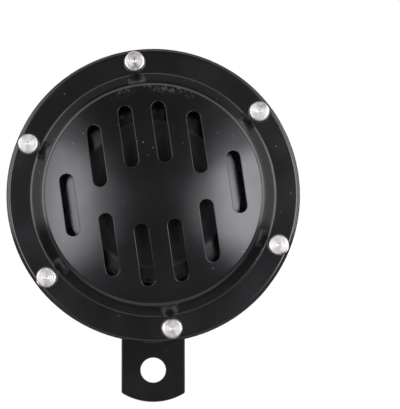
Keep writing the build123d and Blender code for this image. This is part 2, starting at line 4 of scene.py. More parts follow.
import bpy
import numpy as np
from bpy.props import FloatProperty, FloatVectorProperty, IntProperty, PointerProperty
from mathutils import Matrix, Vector


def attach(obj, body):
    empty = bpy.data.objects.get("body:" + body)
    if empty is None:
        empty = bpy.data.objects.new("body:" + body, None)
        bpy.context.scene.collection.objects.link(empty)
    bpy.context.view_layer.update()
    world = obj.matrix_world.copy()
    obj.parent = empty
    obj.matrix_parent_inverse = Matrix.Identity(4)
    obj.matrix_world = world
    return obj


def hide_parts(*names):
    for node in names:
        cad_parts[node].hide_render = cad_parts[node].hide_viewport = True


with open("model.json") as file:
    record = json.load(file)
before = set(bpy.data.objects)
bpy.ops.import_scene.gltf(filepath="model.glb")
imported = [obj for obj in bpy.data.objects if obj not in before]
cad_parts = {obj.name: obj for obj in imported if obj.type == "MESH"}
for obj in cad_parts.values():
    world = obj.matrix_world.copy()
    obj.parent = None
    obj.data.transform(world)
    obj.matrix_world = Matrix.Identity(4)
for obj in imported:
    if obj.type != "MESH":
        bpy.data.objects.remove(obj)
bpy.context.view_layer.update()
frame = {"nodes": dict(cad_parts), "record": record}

bl_info = {
    "name": "Disc horn",
    "version": (1, 0, 0),
    "blender": (4, 5, 0),
    "location": "View3D > Sidebar > Horn",
    "description": "Cover, fasteners, finishes and studio for a flat electric horn",
    "category": "Object",
}

MM = 0.001
# Working frame of the shape functions, in millimetres: Y along the horn's axis with -Y forward,
# +Z up, y = 0 on the seat of the housing's flange. The bracket's hole is the model's origin.
AXIS_ABOVE_HOLE = 58.5
SEAT_AHEAD_OF_HOLE = 19.7
FLANGE_FACE = -2.6      # front face of the cover's flange
HOUSING_REAR = 1.2      # rear face of the housing's flange
SKIRT_END = 2.0
FLOOR = 7.2             # rear face of the housing's floor
CUP_TOP = 17.2
CORE_FRONT = 10.0
CORE_SEAT = 16.0
STUD_END = 29.7
LEAF_FRONT = 3.4
BLADE_REAR = 10.0
GRILLE_TURN = 8.0       # degrees anticlockwise, of slots, rivets and tuning screw
RIVET_SHANK_R = 1.9
RIVET_TAIL_R = 2.85
RIVET_TAIL_H = 0.7
TERMINAL_TURN = 94.0    # degrees anticlockwise from straight up
TERMINAL_CIRCLE = 23.3
TERMINAL_HALF_PITCH = 10.6
TERMINAL_TAIL_R = 2.5
TERMINAL_TAIL_H = 0.8
TERMINAL_SHANK_R = 1.5
CORE_R = 7.0
CORE_CHAMFER = 0.3
STUD_R = 4.0
STUD_LEAD_IN = 0.8
SCREW_CIRCLE = 26.8
SCREW_SHANK_R = 2.0
SCREW_TIP = 2.45
SCREW_CHAMFER = 0.5
ROUND_SIDES = 64
SCREW_SIDES = 192
DULL_NODES = ("tone_disc",)


# ---------------------------------------------------------------- surfaces

def to_frame(points):
    """Millimetres of the working frame as metres of the model's frame."""
    return (points + np.array([0.0, -SEAT_AHEAD_OF_HOLE, AXIS_ABOVE_HOLE])) * MM


def unit(vectors):
    """Vectors scaled to length one."""
    return vectors / np.maximum(np.linalg.norm(vectors, axis=-1, keepdims=True), 1e-12)


def grid(points, normals, closed=False):
    """Patch of quads over a (rows, columns, 3) array; closed joins the last column to the first."""
    rows, columns = points.shape[:2]
    index = np.arange(rows * columns).reshape(rows, columns)
    if closed:
        index = np.concatenate([index, index[:, :1]], axis=1)
    corners = [index[:-1, :-1], index[1:, :-1], index[1:, 1:], index[:-1, 1:]]
    quads = np.stack(corners, axis=-1).reshape(-1, 4)
    return points.reshape(-1, 3), normals.reshape(-1, 3), quads


def moved(patch, offset):
    """The same patch somewhere else."""
    return patch[0] + np.asarray(offset), patch[1], patch[2]


def weld(patches):
    """Joins patches at shared points. Returns points, faces as loops of indices and corner normals."""
    starts = np.cumsum([0] + [len(p[0]) for p in patches[:-1]])
    points = np.concatenate([p[0] for p in patches])
    normals = np.concatenate([p[1] for p in patches])
    quads = np.concatenate([p[2] + start for p, start in zip(patches, starts)])
    keys = np.floor(points / 0.0007 + 0.377).astype(np.int64)
    _, first, merged = np.unique(keys, axis=0, return_index=True, return_inverse=True)
    merged = merged.reshape(-1)
    points = points[first]
    loops = merged[quads]
    corner_normals = normals[quads]
    a, b, c, d = (points[loops[:, i]] for i in range(4))
    facing = np.einsum("ij,ij->i", np.cross(c - a, d - b), corner_normals.sum(axis=1))
    back = facing < 0
    loops[back] = loops[back][:, ::-1]
    corner_normals[back] = corner_normals[back][:, ::-1]
    keep = loops != np.roll(loops, 1, axis=1)
    size = keep.sum(axis=1)
    keep &= (size >= 3)[:, None]
    flat = loops[keep]
    sizes = size[size >= 3]
    return points, flat, sizes, corner_normals[keep]


def make_piece(name, patches, body, material, replaced=()):
    """Mesh object from patches, with its own corner normals, riding on a body."""
    points, flat, sizes, corner_normals = weld(patches)
    mesh = bpy.data.meshes.new(name)
    mesh.vertices.add(len(points))
    mesh.vertices.foreach_set("co", to_frame(points).astype(np.float32).ravel())
    mesh.loops.add(len(flat))
    mesh.loops.foreach_set("vertex_index", flat.astype(np.int32))
    mesh.polygons.add(len(sizes))
    starts = np.concatenate([[0], np.cumsum(sizes)[:-1]])
    mesh.polygons.foreach_set("loop_start", starts.astype(np.int32))
    mesh.update(calc_edges=True)
    mesh.validate()
    mesh.shade_smooth()
    mesh.normals_split_custom_set(unit(corner_normals).tolist())
    mesh.materials.append(material)
    piece = bpy.data.objects.new(name, mesh)
    bpy.context.scene.collection.objects.link(piece)
    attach(piece, body)
    if replaced:
        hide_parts(*replaced)
    return piece


def turned(sections, sides, centre=(0.0, 0.0)):
    """Surface of revolution from sections of (radius, depth) points, crisp where two sections meet.

    point(i, a) = (r_i sin a, y_i, r_i cos a) + centre; the normal is (dy, -dr) of the profile,
    so the profile runs from the front pole outwards and back to the rear pole.
    """
    angle = np.linspace(0, 2 * math.pi, sides, endpoint=False)
    patches = []
    for section in sections:
        section = np.asarray(section, float)
        steps = np.diff(section, axis=0)
        slopes = unit(np.stack([steps[:, 1], -steps[:, 0]], axis=1))
        lean = unit(np.vstack([slopes[:1], slopes]) + np.vstack([slopes, slopes[-1:]]))
        x = section[:, :1] * np.sin(angle) + centre[0]
        z = section[:, :1] * np.cos(angle) + centre[1]
        y = np.broadcast_to(section[:, 1:], x.shape)
        along = np.broadcast_to(lean[:, 1:], x.shape)
        normals = [lean[:, :1] * np.sin(angle), along, lean[:, :1] * np.cos(angle)]
        patches.append(grid(np.stack([x, y, z], axis=-1), np.stack(normals, axis=-1), closed=True))
    return patches


def arc(centre, radius, start, end, steps):
    """(radius, depth) points on a circle; the angles in degrees go from outwards towards the rear."""
    angle = np.radians(np.linspace(start, end, steps + 1))
    return np.stack([centre[0] + radius * np.cos(angle), centre[1] + radius * np.sin(angle)], axis=1)


def around(count, radius, turn):
    """Centres (x, z) equally spaced on a circle, the first turned anticlockwise from straight up."""
    angle = np.radians(turn + 360 / count * np.arange(count))
    return np.stack([-radius * np.sin(angle), radius * np.cos(angle)], axis=1)


# ---------------------------------------------------------------- cover

def cover_height(x, z, sizes):
    """Height of the cover's outer face ahead of its flange.

    A sphere cap down to the shoulder, a straight slope to the flange, both corners rounded, read
    from a fine table of the radius.
    """
    table_r, table_h = cover_section(sizes)
    return np.interp(np.hypot(x, z), table_r, table_h)


def cover_section(sizes):
    """Radius and height of the cover's outer face from the axis to past the fold, as a table."""
    shoulder, fold = sizes["shoulder_r"], sizes["fold_r"]
    shoulder_h, crown_h = sizes["shoulder_h"], sizes["crown_h"]
    ball = (shoulder ** 2 + crown_h ** 2) / (2 * crown_h)
    r = np.linspace(0, fold + 8, 12000)
    cap = shoulder_h + crown_h - ball + np.sqrt(ball ** 2 - np.minimum(r, shoulder + 1) ** 2)
    slope = (fold - r) * shoulder_h / (fold - shoulder)
    top = rounded_min(cap, slope, sizes["shoulder_bend"])
    return r, rounded_max(top, np.zeros_like(r), sizes["fold_bend"])


def rounded_min(a, b, width):
    """Smaller of two curves, with a smooth quadratic join about as wide as the bend."""
    gap = np.maximum(width - np.abs(a - b), 0) / width
    return np.minimum(a, b) - gap ** 2 * width / 4


def rounded_max(a, b, width):
    """Larger of two curves, with the same join."""
    return -rounded_min(-a, -b, width)


def cover_skin(x, z, sizes):
    """Points and unit normals of the cover's outer face at front-view places."""
    step = 0.02
    height = cover_height(x, z, sizes)
    across = (cover_height(x + step, z, sizes) - cover_height(x - step, z, sizes)) / (2 * step)
    along = (cover_height(x, z + step, sizes) - cover_height(x, z - step, sizes)) / (2 * step)
    normals = unit(np.stack([-across, -np.ones_like(x), -along], axis=-1))
    return np.stack([x, FLANGE_FACE - height, z], axis=-1), normals


def ring_angles(sizes, count):
    """Equal angles round the grille's edge, with the cell corners put in place of the nearest ones."""
    angles = np.linspace(0, 2 * math.pi, count, endpoint=False)
    corners = [math.acos(sizes["pitch"] * k / sizes["grille_edge"]) for k in (0, 1, 2)]
    for corner in corners:
        for exact in (corner, math.pi - corner, math.pi + corner, 2 * math.pi - corner):
            angles[np.argmin(np.abs(angles - exact))] = exact
    return angles


def cell_outline(corners, sizes, angles, spacing):
    """Closed run of points round one cell; a pair of corners both on the grille's edge is an arc."""
    edge_r = sizes["grille_edge"]
    runs = []
    for start, end in zip(corners, corners[1:] + corners[:1]):
        start, end = np.array(start), np.array(end)
        on_edge = all(abs(np.hypot(*p) - edge_r) < 1e-6 for p in (start, end))
        if on_edge and abs(start[0] - end[0]) > 1e-9 or on_edge and len(corners) == 3 and start[1] < end[1]:
            first, last = math.atan2(start[1], start[0]), math.atan2(end[1], end[0])
            turn = (angles - first + 1e-7) % (2 * math.pi) - 1e-7
            inside = turn < (last - first) % (2 * math.pi) - 1e-6
            picked = angles[inside][np.argsort(turn[inside])]
            runs.append(edge_r * np.stack([np.cos(picked), np.sin(picked)], axis=1))
        else:
            pieces = max(int(round(np.linalg.norm(end - start) / spacing)), 1)
            share = np.arange(pieces)[:, None] / pieces
            runs.append(start + (end - start) * share)
    return np.concatenate(runs)


def cell_patches(outline, centre, sizes):
    """Grid from one slot out to its cell's outline, on the outer face, the lip, the wall and the inner face.

    Each outline point b is paired with the point s of the slot's centre line nearest to it, so the
    columns run along d = (b - s) / |b - s| from the slot's edge s + w d out to b. The lip is a
    quarter circle from the wall to the face, and the inner face is the outer one moved back by the
    sheet's thickness measured across the slope.
    """
    half, lip, wall = sizes["slot_w"] / 2, sizes["lip"], sizes["wall"]
    straight = (sizes["slot_l"] - sizes["slot_w"]) / 2
    spine = np.stack([np.full(len(outline), centre[0]),
                      np.clip(outline[:, 1], centre[1] - straight, centre[1] + straight)], axis=1)
    away = outline - spine
    d = away / np.linalg.norm(away, axis=1, keepdims=True)
    edge = spine + half * d
    share = np.linspace(0, 1, 10)[:, None, None] ** 1.4
    face = (edge + lip * d) * (1 - share) + outline * share
    outer, outer_normals = cover_skin(face[..., 0], face[..., 1], sizes)
    swing = np.radians(np.linspace(0, 90, 6))[:, None, None]
    lip_place = edge + lip * d * (1 - np.cos(swing))
    sunk, up = cover_skin(lip_place[..., 0], lip_place[..., 1], sizes)
    flat_d = np.stack([d[:, 0], np.zeros(len(d)), d[:, 1]], axis=-1)
    lip_normals = unit(-np.cos(swing) * flat_d + np.sin(swing) * up)
    sunk[..., 1] += (lip * (1 - np.sin(swing)))[..., 0]
    inner_place = edge * (1 - share[::3]) + outline * share[::3]
    inner, inner_normals = cover_skin(inner_place[..., 0], inner_place[..., 1], sizes)
    inner[..., 1] += wall / -inner_normals[..., 1]
    side = np.stack([sunk[0], inner[0]])
    side_normals = np.broadcast_to(-flat_d, side.shape)
    return [grid(outer, outer_normals, True), grid(sunk, lip_normals, True),
            grid(side, side_normals, True), grid(inner, -inner_normals, True)]


def cover_patches(sizes):
    """The whole cover as a closed shell: ten slotted cells, shoulder, flange, rim and skirt."""
    angles = ring_angles(sizes, sizes["columns"])
    edge_r, pitch, grille_r = sizes["grille_edge"], sizes["pitch"], sizes["grille_r"]
    straight = (sizes["slot_l"] - sizes["slot_w"]) / 2
    tall = [math.sqrt(edge_r ** 2 - (pitch * k) ** 2) for k in (0, 1, 2)]
    patches = []
    cells = []
    for k in (0, 1):
        column = pitch * (k + 0.5)
        rise = math.sqrt(grille_r ** 2 - column ** 2) - straight
        near, far = pitch * k, pitch * (k + 1)
        corners = [(near, 0.0), (far, 0.0), (far, tall[k + 1]), (near, tall[k])]
        outline = cell_outline(corners, sizes, angles, sizes["spacing"])
        cells += [(outline, (column, rise), flip) for flip in ((1, 1), (-1, 1), (1, -1), (-1, -1))]
    corners = [(2 * pitch, 0.0), (2 * pitch, -tall[2]), (2 * pitch, tall[2])]
    outline = cell_outline(corners, sizes, angles, sizes["spacing"])
    cells += [(outline, (2.5 * pitch, 0.0), flip) for flip in ((1, 1), (-1, 1))]
    for outline, centre, flip in cells:
        patches += cell_patches(outline * flip, np.array(centre) * flip, sizes)
    # outer face from the grille's edge to the rim, at fixed radii round the axis
    fold, rim, bend = sizes["fold_r"], sizes["rim_r"], sizes["rim_bend"]
    radii = np.concatenate([np.linspace(edge_r, fold + 1.2, 34), np.linspace(fold + 1.6, rim - bend, 8)])
    x, z = radii[:, None] * np.cos(angles), radii[:, None] * np.sin(angles)
    face, face_normals = cover_skin(x, z, sizes)
    # rim bend and skirt, with the short flared lip at its foot
    corner = np.array([rim - bend, FLANGE_FACE + bend])
    swing = np.linspace(-math.pi / 2, 0, 9)
    bend_r, bend_y = corner[0] + bend * np.cos(swing), corner[1] + bend * np.sin(swing)
    skirt_y = np.linspace(corner[1], SKIRT_END, 9)[1:]
    row_r = np.concatenate([bend_r, np.full(8, rim)])
    row_y = np.concatenate([bend_y, skirt_y])
    lean = np.concatenate([np.cos(swing), np.ones(8)])
    forward = np.concatenate([np.sin(swing), np.zeros(8)])
    world = angles + math.radians(sizes["turn"])
    foot = rim * np.cos(world)
    near = np.clip((sizes["lip_w"] / 2 + 0.6 - np.abs(foot)) / 0.9, 0, 1) * (np.sin(world) < 0)
    near = near * near * (3 - 2 * near)
    drop = np.clip(row_y / 1.2, 0, 1)
    drop = drop * drop * (3 - 2 * drop)
    out = row_r[:, None] + sizes["lip_proud"] * drop[:, None] * near
    back = np.broadcast_to(row_y[:, None], out.shape)
    skirt = np.stack([out * np.cos(angles), back, out * np.sin(angles)], axis=-1)
    skirt_normals = np.stack([lean[:, None] * np.cos(angles), np.broadcast_to(forward[:, None], out.shape),
                              lean[:, None] * np.sin(angles)], axis=-1)
    # inner face: the outer one moved back along its normal, its first row set to meet the cells
    wall = sizes["wall"]
    rows = np.concatenate([face[3::3], skirt])
    row_normals = np.concatenate([face_normals[3::3], skirt_normals])
    inner = rows - wall * row_normals
    start = face[:1].copy()
    start[..., 1] += wall / -face_normals[:1, :, 1]
    inner = np.concatenate([start, inner])
    inner_normals = np.concatenate([-face_normals[:1], -row_normals])
    rear = np.stack([skirt[-1], inner[-1]])
    rear_normals = np.broadcast_to(np.array([0.0, 1.0, 0.0]), rear.shape)
    patches += [grid(face, face_normals, True), grid(skirt, skirt_normals, True),
                grid(inner, inner_normals, True), grid(rear, rear_normals, True)]
    turn = math.radians(sizes["turn"])
    spin = np.array([[math.cos(turn), 0, math.sin(turn)], [0, 1, 0], [-math.sin(turn), 0, math.cos(turn)]])
    return [(points @ spin, normals @ spin, quads) for points, normals, quads in patches]


# ---------------------------------------------------------------- fasteners

def rivet_sections(face_r, base_r, height, front, shank_r, shank_end, tail_r, tail_h, ridges, ridge_h):
    """Profile of a turned rivet: centre dimple, face with ridges left by the tool, rounded edge, flared side.

    The face's depth is front + dimple(r) + h (1 - cos(2 pi n r / R)) / 2 with n ridges over radius R.
    """
    edge_r = 0.6
    r = np.linspace(0, face_r - edge_r, 90)
    dimple = 0.22 * np.exp(-(r / 0.42) ** 2)
    wave = ridge_h * (1 - np.cos(2 * math.pi * ridges * r / face_r)) / 2
    face = np.stack([r, front + dimple + wave], axis=1)
    edge = arc((face_r - edge_r, front + edge_r), edge_r, -90, -12, 9)
    side = np.array([[base_r, front + height]])
    shank = [(base_r, front + height), (shank_r, front + height), (shank_r, shank_end)]
    tail_y = shank_end + tail_h
    tail = arc((tail_r - 0.3, tail_y - 0.3), 0.3, 0, 90, 5)
    return [np.concatenate([face, edge[1:], side]), np.array(shank[:2]), np.array(shank[1:]),
            np.array([(shank_r, shank_end), (tail_r, shank_end)]),
            np.concatenate([[(tail_r, shank_end)], tail, [(0.55, tail_y), (0.35, tail_y), (0.0, tail_y)]])]


def flange_rivet_patches(sizes):
    """Six turned aluminium rivets, riveting flange, gaskets and diaphragm together."""
    front = FLANGE_FACE - sizes["height"]
    sections = rivet_sections(sizes["face_r"], sizes["base_r"], sizes["height"], front, RIVET_SHANK_R,
                              HOUSING_REAR, RIVET_TAIL_R, RIVET_TAIL_H, sizes["ridges"], sizes["ridge_h"])
    centres = around(6, sizes["circle_r"], GRILLE_TURN)
    return [patch for centre in centres for patch in turned(sections, ROUND_SIDES, centre)]


def terminal_rivet_patches(sizes):
    """Two domed rivets over the blades, down to the spring leaf inside."""
    dome = arc((0.0, BLADE_REAR + sizes["dome_h"] - sizes["dome_ball"]), sizes["dome_ball"], 90, 0, 60)
    inside = dome[:, 0] < sizes["dome_r"]
    cap = dome[inside][::-1]
    front = LEAF_FRONT - TERMINAL_TAIL_H
    corners = [(0.0, front), (TERMINAL_TAIL_R, front), (TERMINAL_TAIL_R, LEAF_FRONT),
               (TERMINAL_SHANK_R, LEAF_FRONT), (TERMINAL_SHANK_R, BLADE_REAR), (sizes["dome_r"], BLADE_REAR)]
    sections = list(zip(corners, corners[1:])) + [np.concatenate([corners[-1:], cap])]
    return [patch for centre in terminal_centres() for patch in turned(sections, ROUND_SIDES, centre)]


def terminal_centres():
    """Rivet centres of the terminal block on the front view."""
    turn = math.radians(TERMINAL_TURN)
    middle = np.array([-math.sin(turn), math.cos(turn)]) * TERMINAL_CIRCLE
    along = np.array([-math.cos(turn), -math.sin(turn)]) * TERMINAL_HALF_PITCH
    return [middle - along, middle + along]


def thread(radius, pitch, depth, front, rear, sides, lead_in):
    """Rows of a helical thread, fading out at the ends.

    r = R - d t(y/p - a/2pi), with t a rounded triangle wave.
    """
    rows = int((rear - front) / pitch * 12) + 1
    y = np.linspace(front, rear, rows)
    angle = np.linspace(0, 2 * math.pi, sides, endpoint=False)
    phase = (y[:, None] / pitch - angle / (2 * math.pi)) % 1
    wave = np.clip(np.abs(phase * 2 - 1) * 1.3 - 0.15, 0, 1)
    start = np.clip((y - front) / (pitch * 0.8), 0, 1)
    r = radius - depth * wave * start[:, None]
    taper = np.clip(rear - y, 0, lead_in)[:, None]
    r = np.minimum(r, radius - lead_in + taper)
    points = np.stack([r * np.sin(angle), np.broadcast_to(y[:, None], r.shape), r * np.cos(angle)], axis=-1)
    slope = np.gradient(r, y, axis=0)
    swirl = (np.roll(r, -1, axis=1) - np.roll(r, 1, axis=1)) / (4 * math.pi / sides) / r
    outward = np.stack([np.sin(angle), np.zeros(sides), np.cos(angle)], axis=-1)
    round_way = np.stack([np.cos(angle), np.zeros(sides), -np.sin(angle)], axis=-1)
    normals = outward - swirl[..., None] * round_way - slope[..., None] * np.array([0.0, 1.0, 0.0])
    return grid(points, unit(normals), closed=True), points


def stud_patches(sizes):
    """Pole core and threaded stud in one turned piece: core, shoulder, M8 thread, chamfered end."""
    body, points = thread(STUD_R, sizes["stud_pitch"], sizes["stud_depth"], CUP_TOP, STUD_END,
                          ROUND_SIDES, STUD_LEAD_IN)
    corners = [(0.0, CORE_FRONT), (CORE_R - CORE_CHAMFER, CORE_FRONT), (CORE_R, CORE_FRONT + CORE_CHAMFER),
               (CORE_R, CORE_SEAT), (STUD_R, CORE_SEAT), (STUD_R, CUP_TOP)]
    core = turned(list(zip(corners, corners[1:])), ROUND_SIDES)
    rim = points[-1]
    rings = np.stack([rim * [1, 0, 1] * k + [0, STUD_END, 0] for k in (1.0, 0.6, 0.3, 0.0)])
    rings[0] = rim
    cap = grid(rings, np.broadcast_to(np.array([0.0, 1.0, 0.0]), rings.shape), closed=True)
    return core + [body, cap]


def hexagon(angle, flat):
    """Radius of a hexagon with the given distance to its flats, its corners rounded a little."""
    part = (angle + math.pi / 6) % (math.pi / 3) - math.pi / 6
    return flat / np.cos(part) * (1 - 0.012 * (np.abs(part) / (math.pi / 6)) ** 6)


def screw_patches(sizes):
    """Tuning screw: hexagon head, its corners turned off, a raised ring round a cross recess, an M4 shank.

    The head's top is a height over a polar grid of n x 1 shares of the hexagon's radius: flat, less
    (r - flat) tan 30 outside the flats, plus the ring, less the recess, whose walls lean outwards.
    """
    centre = around(1, SCREW_CIRCLE, GRILLE_TURN)[0]
    flat, seat, top = sizes["screw_flat"], FLOOR + 0.5, FLOOR + 3.3
    angle = np.linspace(0, 2 * math.pi, SCREW_SIDES, endpoint=False)
    reach = hexagon(angle, flat)
    share = np.linspace(0, 1, 72)[:, None]
    r = share * reach
    x, z = r * np.sin(angle), r * np.cos(angle)

    def height(x, z):
        r = np.hypot(x, z)
        plain = top - 0.25 - np.maximum(r - flat * 0.97, 0) * 0.55
        ring = 0.25 * np.clip(1.6 - np.abs(r - 2.35) / 0.28, 0, 1)
        wide, tall = np.abs(x), np.abs(z)
        arm = np.minimum(np.maximum(wide - 1.8, tall - 0.5), np.maximum(tall - 1.8, wide - 0.5))
        hole = sizes["recess"] * np.clip(-arm / 0.35, 0, 1)
        return plain + ring - hole

    step = 0.015
    y = height(x, z)
    tilt_x = (height(x + step, z) - height(x - step, z)) / (2 * step)
    tilt_z = (height(x, z + step) - height(x, z - step)) / (2 * step)
    up = unit(np.stack([-tilt_x, np.ones_like(x), -tilt_z], axis=-1))
    face = grid(np.stack([x, y, z], axis=-1), up, True)
    side_y = np.stack([y[-1], np.full(SCREW_SIDES, seat + 0.15), np.full(SCREW_SIDES, seat)])
    side_r = np.stack([reach, reach, reach - 0.15])
    sine, cosine = np.sin(angle), np.cos(angle)
    side = np.stack([side_r * sine, side_y, side_r * cosine], axis=-1)
    turn = np.roll(side[:1], -1, axis=1) - np.roll(side[:1], 1, axis=1)
    flat_normal = unit(np.stack([-turn[..., 2], np.zeros_like(turn[..., 0]), turn[..., 0]], axis=-1))
    flat_normal *= np.sign((flat_normal * side[:1]).sum(-1, keepdims=True))
    wall = grid(side[:2], np.broadcast_to(flat_normal, side[:2].shape), True)
    lean = unit(flat_normal + [0, -1.0, 0])
    foot = grid(side[1:], np.broadcast_to(lean, side[1:].shape), True)
    hub = np.stack([SCREW_SHANK_R * sine, np.full(SCREW_SIDES, seat), SCREW_SHANK_R * cosine], axis=-1)
    under = np.stack([side[2], hub])
    below = grid(under, np.broadcast_to(np.array([0.0, -1.0, 0.0]), under.shape), True)
    corners = [(0.0, SCREW_TIP), (SCREW_SHANK_R - SCREW_CHAMFER, SCREW_TIP),
               (SCREW_SHANK_R, SCREW_TIP + SCREW_CHAMFER), (SCREW_SHANK_R, seat)]
    shank = turned(list(zip(corners, corners[1:])), SCREW_SIDES)
    offset = (centre[0], 0.0, centre[1])
    return [moved(patch, offset) for patch in [face, wall, foot, below] + shank]


# ---------------------------------------------------------------- finishes

def linear(code):
    """An sRGB hex colour as linear red, green and blue."""
    parts = [int(code[i:i + 2], 16) / 255 for i in (0, 2, 4)]
    return tuple(p / 12.92 if p <= 0.04045 else ((p + 0.055) / 1.055) ** 2.4 for p in parts)


def opaque(colour):
    """A colour with full alpha, as sockets take it."""
    return tuple(colour)[:3] + (1.0,)


def add_node(tree, kind, links=(), settings=(), values=()):
    """Adds a node with its attributes, socket values by name or number, and (socket, source) links."""
    node = tree.nodes.new(kind)
    for key, value in settings:
        setattr(node, key, value)
    for key, value in values:
        node.inputs[key].default_value = value
    for socket, source in links:
        tree.links.new(source, node.inputs[socket])
    return node


def start_material(name, values):
    """An empty node material: its tree, its shader with plain values, and object coordinates."""
    material = bpy.data.materials.new(name)
    material.use_nodes = True
    tree = material.node_tree
    tree.nodes.clear()
    shader = add_node(tree, "ShaderNodeBsdfPrincipled", values=values)
    add_node(tree, "ShaderNodeOutputMaterial", [("Surface", shader.outputs["BSDF"])])
    place = add_node(tree, "ShaderNodeTexCoord").outputs["Object"]
    return material, tree, shader, place


def noise(tree, place, size_mm, detail=2.0, stretch=None):
    """Noise whose blobs are about this many millimetres across; stretch scales the three axes first."""
    if stretch:
        scaled = add_node(tree, "ShaderNodeMapping", [("Vector", place)], values=[("Scale", stretch)])
        place = scaled.outputs["Vector"]
    values = [("Scale", 0.5 / (size_mm * MM)), ("Detail", detail), ("Roughness", 0.55)]
    return add_node(tree, "ShaderNodeTexNoise", [("Vector", place)], values=values).outputs["Fac"]


def ramp(tree, value, low, high, out_low, out_high):
    """The value read from one range to another, smooth at both ends and held past them."""
    values = [("From Min", low), ("From Max", high), ("To Min", out_low), ("To Max", out_high)]
    settings = [("interpolation_type", "SMOOTHSTEP")]
    return add_node(tree, "ShaderNodeMapRange", [("Value", value)], settings, values).outputs["Result"]


def combine(tree, operation, first, second):
    """Two values put together by a Math node; the second may be a plain number."""
    linked = isinstance(second, bpy.types.NodeSocket)
    links = [(0, first), (1, second)] if linked else [(0, first)]
    values = [] if linked else [(1, second)]
    return add_node(tree, "ShaderNodeMath", links, [("operation", operation)], values).outputs[0]


def blend_colour(tree, share, first, second):
    """Mix of two linear colours, or of a colour socket and a colour."""
    node = add_node(tree, "ShaderNodeMix", [("Factor", share)], [("data_type", "RGBA")])
    for socket, colour in ((node.inputs[6], first), (node.inputs[7], second)):
        if isinstance(colour, bpy.types.NodeSocket):
            tree.links.new(colour, socket)
        else:
            socket.default_value = opaque(colour)
    return node.outputs[2]


def add_bump(tree, height, depth_mm, shader, strength=1.0, under=None):
    """Bump of a real depth on the shader; under is a bump that this one lies over."""
    links = [("Height", height)] + ([("Normal", under)] if under else [])
    values = [("Strength", strength), ("Distance", depth_mm * MM)]
    normal = add_node(tree, "ShaderNodeBump", links, values=values).outputs["Normal"]
    tree.links.new(normal, shader.inputs["Normal"])
    return normal


def from_axis(tree, place):
    """Distance from the horn's axis, height above it and depth, in metres, as sockets."""
    axis = (0.0, 0.0, AXIS_ABOVE_HOLE * MM)
    offset = add_node(tree, "ShaderNodeVectorMath", [(0, place)], [("operation", "SUBTRACT")], [(1, axis)])
    across = add_node(tree, "ShaderNodeVectorMath", [(0, offset.outputs["Vector"])],
                      [("operation", "MULTIPLY")], [(1, (1.0, 0.0, 1.0))])
    radius = add_node(tree, "ShaderNodeVectorMath", [(0, across.outputs["Vector"])],
                      [("operation", "LENGTH")])
    parts = add_node(tree, "ShaderNodeSeparateXYZ", [("Vector", offset.outputs["Vector"])])
    return radius.outputs["Value"], parts.outputs["Z"], parts.outputs["Y"]


def scuffs(tree, place):
    """Pale rubs inside the crown's upper edge, 32 to 35 mm from the axis, within 25 degrees of the top."""
    radius, height, depth = from_axis(tree, place)
    lean = combine(tree, "DIVIDE", height, radius)
    rubbed = ramp(tree, noise(tree, place, 0.45, 4.0), 0.44, 0.74, 0.0, 0.20)
    for limit in (ramp(tree, noise(tree, place, 3.5, 1.0), 0.44, 0.60, 0.1, 1.0),
                  ramp(tree, radius, 31.8 * MM, 33.8 * MM, 0.0, 1.0),
                  ramp(tree, radius, 34.8 * MM, 35.5 * MM, 1.0, 0.0),
                  ramp(tree, lean, 0.905, 0.95, 0.0, 1.0),
                  ramp(tree, depth, -26.5 * MM, -25.5 * MM, 1.0, 0.0)):
        rubbed = combine(tree, "MULTIPLY", rubbed, limit)
    return rubbed


def stoved_enamel(name, colour, roughness, dust):
    """Black stoving enamel sprayed on pressed steel: deep, semi-gloss, soft-edged reflections.

    Orange peel 2.5 mm across and a few microns high bends the reflections a little, a slow change
    of gloss breaks them up, specks of dust up to 0.25 mm across stand out grey, and the crown's upper
    edge is scuffed.
    """
    values = [("Base Color", opaque(colour)), ("Roughness", roughness), ("IOR", 1.5)]
    material, tree, shader, place = start_material(name, values)
    haze = ramp(tree, noise(tree, place, 9.0, 3.0), 0.3, 0.75, roughness * 0.86, roughness * 1.2)
    speck = add_node(tree, "ShaderNodeTexVoronoi", [("Vector", place)], [("feature", "F1")],
                     [("Scale", 1 / (1.6 * MM)), ("Randomness", 1.0)])
    few = add_node(tree, "ShaderNodeSeparateColor", [("Color", speck.outputs["Color"])]).outputs["Red"]
    size = ramp(tree, few, 0.72, 1.0, 0.0, 0.085)
    grain = combine(tree, "LESS_THAN", speck.outputs["Distance"], size)
    share = combine(tree, "MAXIMUM", combine(tree, "MULTIPLY", grain, dust), scuffs(tree, place))
    tree.links.new(blend_colour(tree, share, colour, linear("8C8C8C")), shader.inputs["Base Color"])
    tree.links.new(combine(tree, "MAXIMUM", haze, share), shader.inputs["Roughness"])
    add_bump(tree, noise(tree, place, 2.5, 1.0), 0.006, shader)
    return material


def uneven_enamel(name, colour, dull, gloss, inner_mm, outer_mm):
    """Thin enamel on the disc behind the slots: dry and dull in the middle, glossy on its outer band.

    The gloss follows the distance from the horn's axis. Where it changes is set for how the
    slots look from the front.
    """
    values = [("Base Color", opaque(colour)), ("Roughness", dull), ("IOR", 1.5)]
    material, tree, shader, place = start_material(name, values)
    radius = from_axis(tree, place)[0]
    sheen = ramp(tree, radius, inner_mm * MM, outer_mm * MM, dull, gloss)
    tree.links.new(sheen, shader.inputs["Roughness"])
    add_bump(tree, noise(tree, place, 2.5, 1.0), 0.004, shader)
    return material


